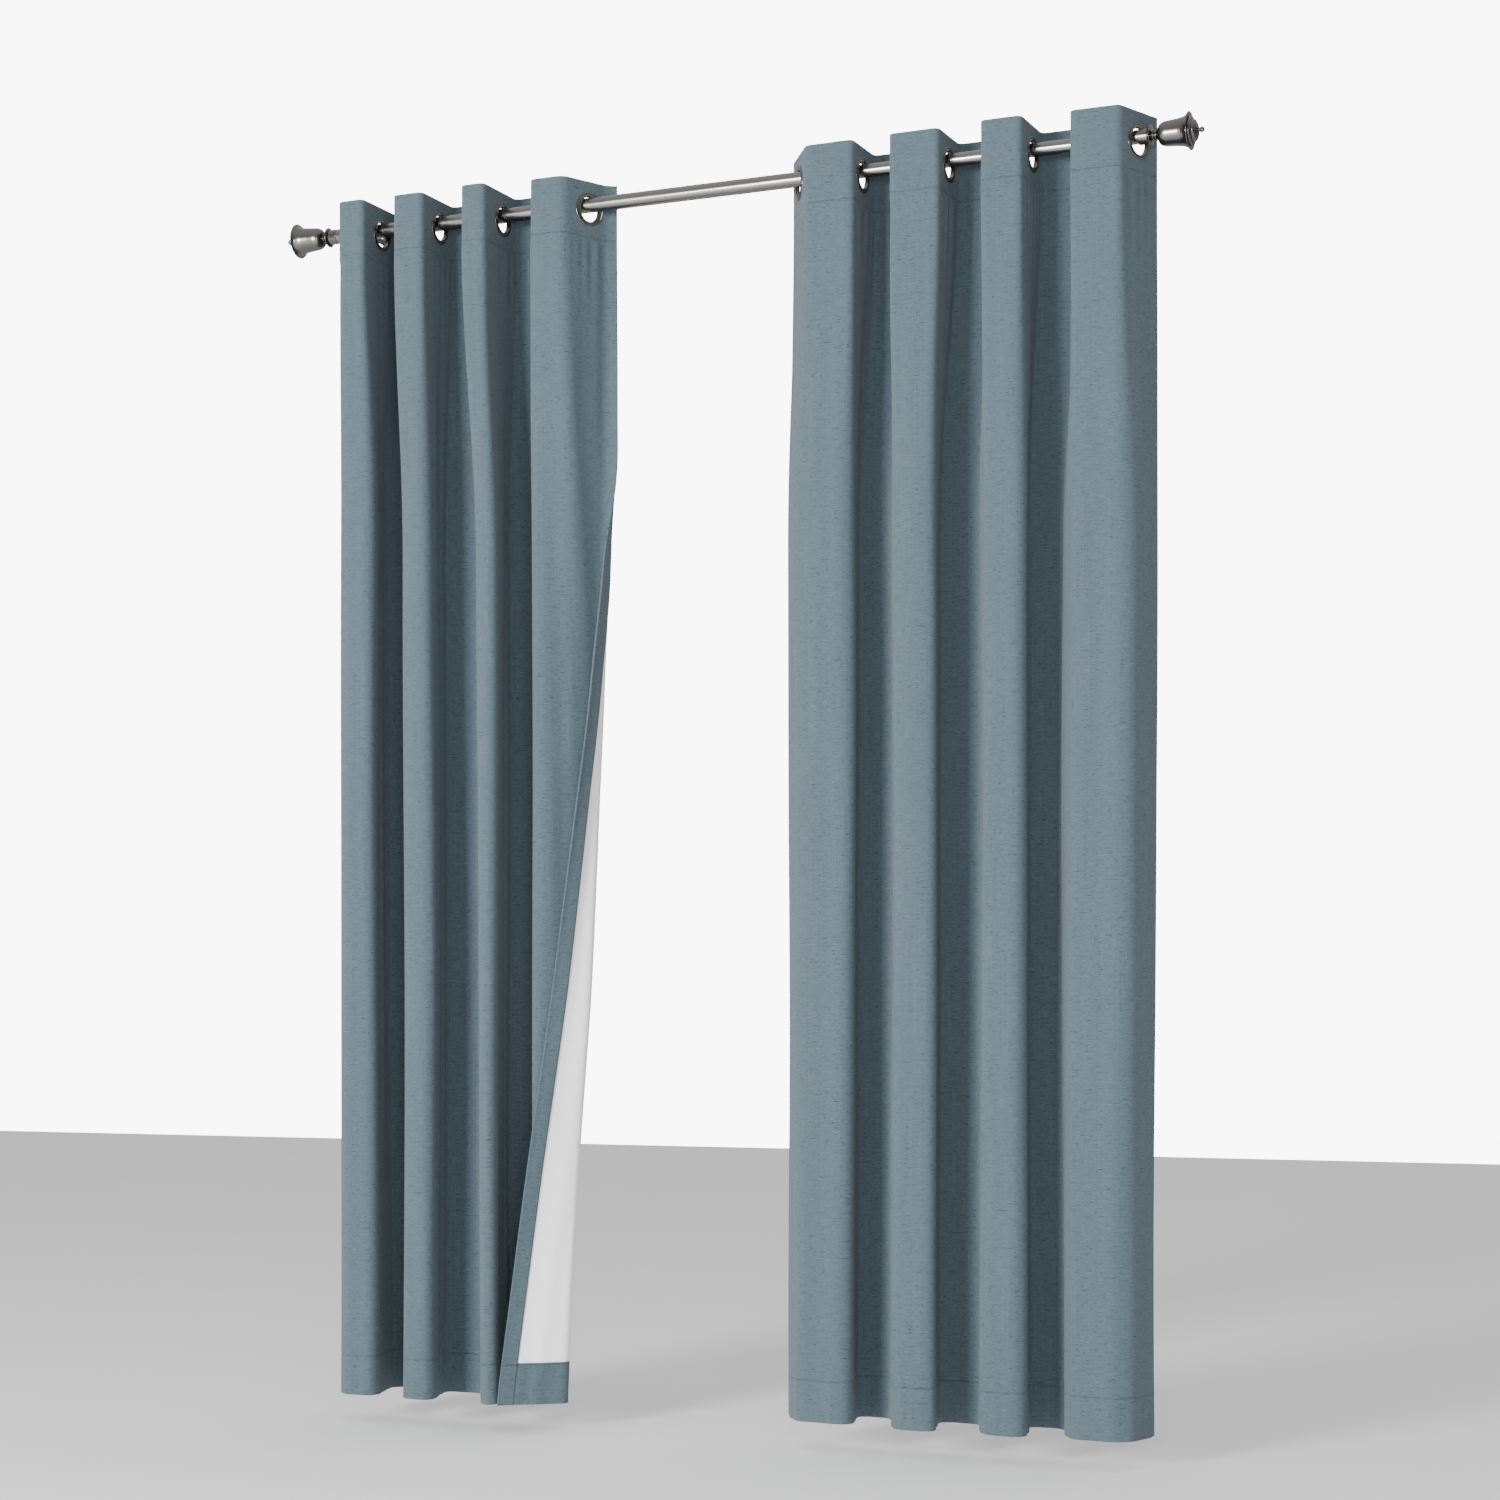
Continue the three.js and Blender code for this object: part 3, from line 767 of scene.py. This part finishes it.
def side_hem_piece(name, cloth):
    """Side hem: face fabric turned round the panel's side edge and laid flat on the back, narrower beside
    the grommet, whose flange covers it. The path across the hem is swept down the whole edge."""
    z = np.concatenate([[TOP + 0.0002, TOP - 0.0012], header_heights(), drop_heights(), hem_heights(),
                        [HEM + 0.0012, HEM - 0.0002]])
    flange = np.sqrt(np.clip((FLANGE_R + 0.0006) ** 2 - (z - RING_Z) ** 2, 0, None))
    wide = np.minimum(SIDE_HEM, MARGIN - flange)
    arc = np.linspace(-np.pi / 2, np.pi / 2, 9)
    middle, radius = (FRONT_N + SIDE_HEM_N) / 2, (FRONT_N - SIDE_HEM_N) / 2 + 0.2 * MM
    # shares of the width inwards from the edge, and stand-off
    flat_run = np.linspace(1, 0.06, 9)
    inward = np.concatenate([flat_run, np.zeros(9), [0.02, 0.04]])
    outward = np.concatenate([np.zeros(9), radius * np.cos(arc) * 0.8, [0, 0]])
    stand = np.concatenate([np.full(9, SIDE_HEM_N), middle + radius * np.sin(arc), [FRONT_N + 0.35 * MM] * 2])
    path = np.stack([-inward * SIDE_HEM + outward, stand], 1)
    outline = ribbon_outline(path, CLOTH_THICK)
    over, n = outline[:, :1], outline[:, 1:]
    over = np.where(over < 0, over * (wide / SIDE_HEM)[None], over)
    edge = cloth.u[0] if cloth.index == 0 else cloth.u[-1]
    out = -1 if cloth.index == 0 else 1
    inside = np.clip(edge + out * over, cloth.u[0], cloth.u[-1])
    beyond = edge + out * over - inside
    points = cloth.points(inside, z[None], n)
    angle = cloth.sample(cloth.angle, inside, np.broadcast_to(z[None], inside.shape))
    points[..., 0] -= cloth.panel["side"] * beyond * np.cos(angle)
    points[..., 1] += beyond * np.sin(angle)
    faces, flat = ribbon_faces(len(outline), len(z))
    uv = np.stack([cloth.from_edge + edge + out * over, np.broadcast_to(z[None], inside.shape)], -1)
    return make_mesh(name, points, [faces], face_fabric, uv, flat)


def stitch_piece(name, cloth):
    """Sewing thread: short spindles end to end along the header, the bottom hem and the side hem, on both
    sides of the cloth. Each spindle is a four-sided taper drawn out along the stitch."""
    pitch, length = 3.5 * MM, 2.7 * MM
    centres, ends = [], []

    def line(u, z, n, du, dz):
        """Stitches centred at (u, z), each half reaching as far as (du, dz)."""
        centres.append(cloth.points(u, z, n))
        ends.append(cloth.points(u + du, z + dz, n))

    across = np.arange(cloth.u[0] + pitch / 2, cloth.u[-1], pitch)
    if cloth.index == 8:
        across = across[across < cloth.u[-1] - 0.002]
    for z in (HEADER_STITCH, HEM_STITCH):
        for n in (FRONT_N + 0.22 * MM, BACK_N - 0.22 * MM):
            line(across, np.full_like(across, z), n, length / 2, 0)
    if cloth.index in (0, 8):
        down = np.arange(HEM + 0.004, HEADER, pitch)
        edge = cloth.u[0] + SIDE_STITCH if cloth.index == 0 else cloth.u[-1] - SIDE_STITCH
        for n in (FRONT_N + 0.45 * MM, SIDE_HEM_N - 0.45 * MM):
            line(np.full_like(down, edge), down, n, 0, length / 2)
    centre = np.concatenate(centres)
    half = np.concatenate(ends) - centre
    run = half / np.linalg.norm(half, axis=1)[:, None]
    first = np.cross(run, [0.31, 0.62, 0.72])
    first /= np.linalg.norm(first, axis=1)[:, None]
    second = np.cross(run, first)
    stations = np.array([[-0.7, 0.6], [0.0, 1.0], [0.7, 0.6]])
    turn = np.arange(4) * np.pi / 2
    spoke = first[:, None] * np.cos(turn)[None, :, None] + second[:, None] * np.sin(turn)[None, :, None]
    rings = centre[:, None, None] + half[:, None, None] * stations[None, :, 0, None, None]
    rings = rings + spoke[:, None] * (0.2 * MM * stations[None, :, 1, None, None])
    tips = np.stack([centre - half, centre + half], 1)
    points = np.concatenate([rings.reshape(-1, 12, 3), tips], 1)
    start = (np.arange(len(centre)) * 14)[:, None, None]
    quads = (start + grid_quads(3, 4, close_columns=True)[None]).reshape(-1, 4)
    j = np.arange(4)
    fans = np.concatenate([
        np.stack([(j + 1) % 4, j, np.full(4, 12)], 1),
        np.stack([8 + j, 8 + (j + 1) % 4, np.full(4, 13)], 1),
    ])
    return make_mesh(name, points, [quads, (start + fans[None]).reshape(-1, 3)], blue_thread)


def ring_profile(sign):
    """One half of a grommet, as (radius, distance from the cloth's middle): bore wall, crown, a shallow
    groove, a rolled rim, and the barrel that passes through the cloth."""
    points = [
        (21.5, 0.06), (21.5, 2.6), (21.8, 3.15), (22.5, 3.4), (23.6, 3.38), (24.5, 3.15), (25.2, 2.8),
        (26.0, 2.65), (26.8, 2.75), (27.6, 2.95), (28.4, 2.8), (28.9, 2.3), (29.0, 1.9), (28.7, 1.55),
        (27.5, 1.5), (24.35, 1.5), (24.3, 1.2), (24.3, 0.06),
    ]
    return np.array([(r, sign * h) for r, h in points]) * MM


def blend_plane(side, first, a, b, trim_a, trim_b):
    """Two points whose joining line crosses the cloth between two grommet lines: nothing before the first
    and nothing after the second lies between them, however the lines lean."""
    slope_a, slope_b = (np.polyfit(-LEVELS, line[:, 0], 1)[0] for line in (a, b))
    slope = (slope_a + slope_b) / 2
    start = (a[:, 0] + slope * LEVELS).max() + trim_a
    end = (b[:, 0] + slope * LEVELS).min() - trim_b
    step = (end - start) / (1 + slope**2)
    s = Vector((side * (first - start), ROD_Y, 0))
    e = Vector((side * (first - start - step), ROD_Y, slope * step))
    return s, e


def make_panel(name, panel):
    """One curtain: nine runs of fabric and lining with their hems and stitching, and eight grommets."""
    runs, ring_t = lay_out(panel)
    side, first = panel["side"], panel["top"][0] * MM
    for k in range(8):
        turn = math.radians(90 - panel["turn"][k]) * (-1 if k % 2 == 0 else 1)
        normal = (-side * math.sin(turn), -math.cos(turn), 0)
        place = (side * panel["top"][k] * MM, ROD_Y, RING_Z)
        for half, sign in (("front", 1), ("back", -1)):
            ring = lathe(
                f"{name}_grommet_{k + 1}_{half}", ring_profile(sign), grommet_nickel, place, normal, 64,
                ring=True,
            )
            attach(ring, f"{name}_ring_{k + 1}")
        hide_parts(f"{name}_grommet_{k + 1}")
    # how far in from each grommet's line, by the grommet's turn, the plane between two grommet lines is set;
    # the plane's two points are worked out for each run and not used further
    trims = {0: 6 * MM, 20: 14 * MM, 24: 16 * MM, 34: 20 * MM}
    names = ["outer_edge"] + [f"fold_{k}" for k in range(1, 8)] + ["leading_edge"]
    for index, run in enumerate(runs):
        cloth = Cloth(panel, index, run)
        label = f"{name}_panel_{names[index]}"
        fabric = fabric_piece(f"{label}_fabric", cloth)
        others = [lining_piece(f"{label}_lining", cloth), stitch_piece(f"{label}_stitching", cloth)]
        if index in (0, 8):
            others.append(side_hem_piece(f"{label}_side_hem", cloth))
        k = min(max(index - 1, 0), 6)
        start, end = blend_plane(
            side, first, ring_t[k], ring_t[k + 1], trims[panel["turn"][k]], trims[panel["turn"][k + 1]]
        )
        for piece in [fabric, *others]:
            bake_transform(piece)
        if index > 0:
            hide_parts(f"{name}_cloth_{index}")


# ---------- rod, finials and brackets ----------

ALONG_ROD = (1, 0, 0)
TO_WALL = (0, 1, 0)
# the wall screws' distance above and below the rod
SCREW_Z = 25 * MM


def tube_profile(outer, inner, start, end):
    """A tube's wall as a closed profile with softened lips."""
    corners = [(inner, (start + end) / 2), (inner, start), (outer, start), (outer, end), (inner, end),
               (inner, (start + end) / 2)]
    return softened(corners, 0.35 * MM)[:-1]


def make_rod():
    """The outer tube and the thinner one that telescopes in it."""
    for part, radius, start, end, body in (
        ("outer", TUBE_R, -TUBE_END, STEP_X, "rod_and_brackets"),
        ("inner", INNER_TUBE_R, INNER_FROM, TUBE_END, "inner_tube"),
    ):
        profile = tube_profile(radius, radius - TUBE_WALL, start, end)
        tube = lathe(f"rod_{part}_tube_turned", profile, nickel, (0, ROD_Y, 0), ALONG_ROD, 128,
                     ring=True)
        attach(tube, body)
        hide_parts(f"rod_{part}_tube")


def make_finial(name, side, tube_r):
    """The shoulder, collar and beads, bell-shaped body, and stepped dome with a ball tip, all turned."""
    plug = tube_r - TUBE_WALL - 0.3 * MM
    shoulder = TUBE_R + 0.4 * MM
    sleeve = [(0, -0.0407), (plug, -0.0407), (plug, -0.0157), (shoulder, -0.0157), (shoulder, -0.0003),
              (3 * MM, -0.0003), (3 * MM, 0.014), (0, 0.014)]
    neck = [(0, 14.3), (3.3, 14.3), (3.3, 0.0), (13, 0), (14.8, 0.9), (16.6, 2.1), (17.5, 3.0), (17.6, 3.5),
            (17.2, 4.1), (14, 4.5), (10, 4.9), (8, 5.5), (7.1, 6.2), (7.3, 6.6), (8.6, 7.3), (9.1, 8.2),
            (8.6, 9.1), (7.2, 9.9), (6.2, 10.4), (6.0, 11.0), (6.4, 11.6), (8.0, 12.3), (8.6, 13.2),
            (8.0, 14.1), (6.7, 14.8), (6.4, 15.4), (6.5, 16), (4, 16), (4, 24), (0, 24)]
    urn = [(0, 8.3), (4.3, 8.3), (4.3, 0), (10, 0), (12.5, 0.7), (15.5, 2.5), (17.3, 4.5), (18.5, 7),
           (19.4, 10), (20, 13), (20.4, 18), (20.8, 23), (21.4, 29), (22.2, 36), (23.2, 41), (24.6, 45),
           (26.2, 47.8), (28.2, 49.8), (30.2, 50.9), (30.7, 51.4), (30.7, 52.0), (30.2, 52.5), (29, 52.6),
           (26, 52.6), (4.3, 52.6), (4.3, 44.3), (0, 44.3)]
    cap = [(0, -8), (4, -8), (4, 0), (24, 0), (24.3, 0.5), (24.3, 1.4), (23.8, 2.3), (22.4, 3.4), (20.4, 4.3),
           (18.6, 4.9), (18.0, 5.4), (17.8, 6.4), (17.3, 7.4), (15.8, 8.9), (13.4, 10.3), (10.6, 11.3),
           (7.8, 11.9), (5.6, 12.3), (4.0, 12.9), (3.3, 13.7), (3.1, 14.4), (3.4, 15.2), (4.4, 16.3),
           (4.85, 17.6), (4.7, 19.2), (4.0, 20.6), (2.8, 21.7), (1.4, 22.4), (0, 22.6)]
    axis = (side, 0, 0)
    shoulder_piece = lathe(f"{name}_turned_finial_shoulder", softened(sleeve, 0.5 * MM), turned_nickel,
                           (side * FINIAL_X, ROD_Y, 0), axis)
    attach(shoulder_piece, "rod_and_brackets" if side < 0 else "inner_tube")
    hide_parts(f"{name}_finial_sleeve")
    for part, profile, rise in (("neck", neck, 0), ("urn", urn, 16.3), ("cap", cap, 69.2)):
        turned = lathe(
            f"{name}_turned_finial_{part}", softened(np.array(profile) * MM, 0.4 * MM, 3), turned_nickel,
            (side * (FINIAL_X + rise * MM), ROD_Y, 0), axis,
        )
        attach(turned, f"{name}_finial")
        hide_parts(f"{name}_finial_{part}")


def stacked(name, loops, material):
    """A solid through a pile of outlines with as many points each, with a fan at each end."""
    loops = np.asarray(loops, float)
    count = loops.shape[1]
    points = np.concatenate([loops.reshape(-1, 3), [loops[0].mean(0)], [loops[-1].mean(0)]])
    j = np.arange(count)
    top = (len(loops) - 1) * count
    first = np.stack([(j + 1) % count, j, np.full(count, len(points) - 2)], 1)
    last = np.stack([top + j, top + (j + 1) % count, np.full(count, len(points) - 1)], 1)
    faces = [grid_quads(len(loops), count, close_columns=True), first, last]
    flat = np.arange(len(faces[0]), sum(len(f) for f in faces))
    return make_mesh(name, points, faces, material, flat=flat)


def cut_away(obj, tools):
    """Takes the tools' shapes out of obj, joins points that fall together, and removes the tools."""
    for tool in tools:
        cutter = obj.modifiers.new("cut", "BOOLEAN")
        cutter.operation, cutter.solver, cutter.object = "DIFFERENCE", "EXACT", tool
    bpy.context.view_layer.update()
    result = bpy.data.meshes.new_from_object(obj.evaluated_get(bpy.context.evaluated_depsgraph_get()))
    obj.modifiers.clear()
    shape = bmesh.new()
    shape.from_mesh(result)
    bmesh.ops.remove_doubles(shape, verts=shape.verts, dist=0.00001)
    bmesh.ops.holes_fill(shape, edges=[edge for edge in shape.edges if edge.is_boundary])
    shape.to_mesh(result)
    shape.free()
    obj.data = result
    for tool in tools:
        bpy.data.objects.remove(tool)


def make_bracket(name, side, tube_r):
    """Wall plate with countersunk holes, arm with flared ends, open cradle, knurled lock screw and two
    cross-slotted wall screws."""
    x = side * BRACKET_X
    end_r = 13 * MM
    turn = np.linspace(0, 2 * math.pi, 96, endpoint=False)
    outline = np.stack([np.cos(turn), np.sin(turn)], 1)
    lift = np.where(outline[:, 1] > 0, SCREW_Z, -SCREW_Z)
    loops = []
    for inset, y in [(0.3, 0), (0, -0.3), (0, -2.6), (0.15, -3.1), (0.5, -3.6), (1.0, -3.9), (1.8, -4.0)]:
        loop = np.stack([
            x + outline[:, 0] * (end_r - inset * MM), np.full(96, y * MM),
            outline[:, 1] * (end_r - inset * MM) + lift,
        ], 1)
        loops.append(loop)
    plate = stacked(f"{name}_bracket_wall_plate", loops, steel)
    drill = np.array([(0, -6), (4.6, -6), (4.6, -3.9), (2.5, -2.4), (2.5, 2), (0, 2)]) * MM
    cut_away(plate, [lathe("drill", drill, steel, (x, 0, z), TO_WALL, 32) for z in (SCREW_Z, -SCREW_Z)])
    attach(plate, "rod_and_brackets")
    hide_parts(f"{name}_wall_plate")

    back = ROD_Y + tube_r + 3.3 * MM
    reach = -4 * MM - back
    profile = [(0, 0.3 * MM), (7 * MM, 0.3 * MM), (6.2 * MM, 2.2 * MM), (5 * MM, 5 * MM),
               (5 * MM, reach - 5 * MM), (6.4 * MM, reach - 2.2 * MM), (7.4 * MM, reach - 0.3 * MM),
               (0, reach - 0.3 * MM)]
    arm = lathe(f"{name}_flared_bracket_arm", softened(profile, 0.8 * MM), turned_nickel, (x, back, 0),
                TO_WALL, 64)
    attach(arm, "rod_and_brackets")
    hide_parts(f"{name}_bracket_arm")

    middle = tube_r + 1.8 * MM
    bend = np.linspace(0, math.pi, 33)
    path = np.concatenate([
        [[middle, h * MM] for h in (10, 6, 3)],
        np.stack([middle * np.cos(bend), -middle * np.sin(bend)], 1),
        [[-middle, h * MM] for h in (3, 6, 10)],
    ])
    columns = [(-7.0, 2.2), (-6.8, 2.8), (-6.4, 3.0), (6.4, 3.0), (6.8, 2.8), (7.0, 2.2)]
    sections = [ribbon_outline(path, thick * MM) for _, thick in columns]
    points = np.stack([
        np.stack([np.full(len(o), x + a * MM), ROD_Y + o[:, 0], o[:, 1]], 1)
        for (a, _), o in zip(columns, sections)
    ], 1)
    faces, flat = ribbon_faces(len(sections[0]), len(columns))
    cradle = make_mesh(f"{name}_open_rod_cradle", points, [faces], turned_nickel, flat=flat)
    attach(cradle, "rod_and_brackets")
    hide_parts(f"{name}_rod_cradle")

    tip = ROD_Y - tube_r - 0.3 * MM
    knob_r = 6 * MM
    teeth = knob_r + 0.22 * MM * np.abs(np.sin(turn * 16))
    rounds = [(5.16, 12), (5.76, 11.6), (6, 11), (6, 6.2), (5.76, 5.6), (5.16, 5.2), (2.5, 5.0), (2.5, 0.4),
              (2.1, 0)]
    loops = []
    for r, y in rounds:
        radius = teeth if r * MM == knob_r else r * MM
        loops.append(
            np.stack([x + np.cos(turn) * radius, np.full(96, tip - y * MM), np.sin(turn) * radius], 1)
        )
    knob = stacked(f"{name}_knurled_lock_screw", loops, turned_nickel)
    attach(knob, f"{name}_lock")
    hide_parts(f"{name}_lock_screw")

    for place, z in (("upper", SCREW_Z), ("lower", -SCREW_Z)):
        head = [(0, -2.6), (1.6, -2.55), (2.9, -2.25), (3.7, -1.6), (4.2, -0.9), (4.2, -0.1), (2.2, 0),
                (2.2, 3), (1.75, 5)]
        thread = [(2.2 if i % 2 else 1.6, 6 + i * 0.9) for i in range(22)]
        profile = np.array(head + thread + [(1.2, 28), (0, 32)]) * MM
        screw = lathe(f"{name}_{place}_bracket_screw", profile, steel, (x, -4.3 * MM, z), TO_WALL, 48)
        slots = []
        for w, h in ((0.5, 2.1), (2.1, 0.5)):
            corners = np.array([(-w, -h), (w, -h), (w, h), (-w, h)]) * MM
            loops = [
                np.stack([x + corners[:, 0], np.full(4, y * MM), z + corners[:, 1]], 1)
                for y in (-8.0, -5.7)
            ]
            slots.append(stacked("slot", loops, steel))
        cut_away(screw, slots)
        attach(screw, "rod_and_brackets")
        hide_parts(f"{name}_{place}_wall_screw")


# ---------- build ----------

camera_data = bpy.data.cameras.new("camera")
camera_data.lens = 69.6
camera_data.sensor_width = 36
camera_data.shift_y = 0.1667
camera_data.clip_end = 60
camera_data.dof.use_dof = False
camera = bpy.data.objects.new("camera", camera_data)
camera.location = (2.064, -4.602, -1.386)
camera.rotation_euler = (math.radians(90), 0, math.radians(23.88))
bpy.context.scene.collection.objects.link(camera)
bpy.context.scene.camera = camera

make_rod()
make_finial("left", -1, TUBE_R)
make_finial("right", 1, INNER_TUBE_R)
make_bracket("left", -1, TUBE_R)
make_bracket("right", 1, INNER_TUBE_R)
for panel_name, panel_data in PANELS.items():
    make_panel(panel_name, panel_data)

# ---------- floor and light ----------

floor_shader = Shader("pale floor")
floor_grain = floor_shader.noise(floor_shader.place(), 3.0, 3.0)
floor_material = floor_shader.finish(
    Base_Color=floor_shader.colour(floor_grain, (0.88, 0.88, 0.88, 1), (0.85, 0.85, 0.85, 1)), Roughness=0.8
)
FLOOR_Z = HEM - 0.05
FLOOR_HALF = 9
floor_corners = [(x * FLOOR_HALF, y * FLOOR_HALF, FLOOR_Z) for x, y in ((-1, -1), (1, -1), (1, 1), (-1, 1))]
floor = make_mesh("floor", floor_corners, [[(0, 1, 2, 3)]], floor_material)

# the studio is bright overhead and dimmer towards the horizon, against a white cove
COVE_GLOW = 9.0
bpy.context.scene.world = bpy.data.worlds.new("studio")
studio = Shader("studio", bpy.context.scene.world)
_, _, skyward = studio.parts(studio.place())
seen = studio.node("ShaderNodeLightPath").out("Is Camera Ray")
glow = 0.24 + skyward.between(-0.05, 0.95) * 0.8
strength = glow + seen * (COVE_GLOW - glow)
backdrop = studio.node("ShaderNodeBackground", None, {"Color": (1, 1, 1, 1), "Strength": strength})
studio.node("ShaderNodeOutputWorld", None, {0: backdrop.out(0)})


def soft_light(name, place, aim, size, watts):
    """A square area light at place that faces aim."""
    data = bpy.data.lights.new(name, "AREA")
    data.shape, data.size, data.energy = "SQUARE", size, watts
    light = bpy.data.objects.new(name, data)
    light.location = place
    light.rotation_euler = (Vector(aim) - Vector(place)).to_track_quat("-Z", "Y").to_euler()
    bpy.context.scene.collection.objects.link(light)


soft_light("key", (-1.5, -5.8, -0.5), (0.3, 0, -0.9), 1.5, 590)
soft_light("fill", (2.2, -4.4, -0.7), (0.7, 0, -0.9), 1.4, 110)
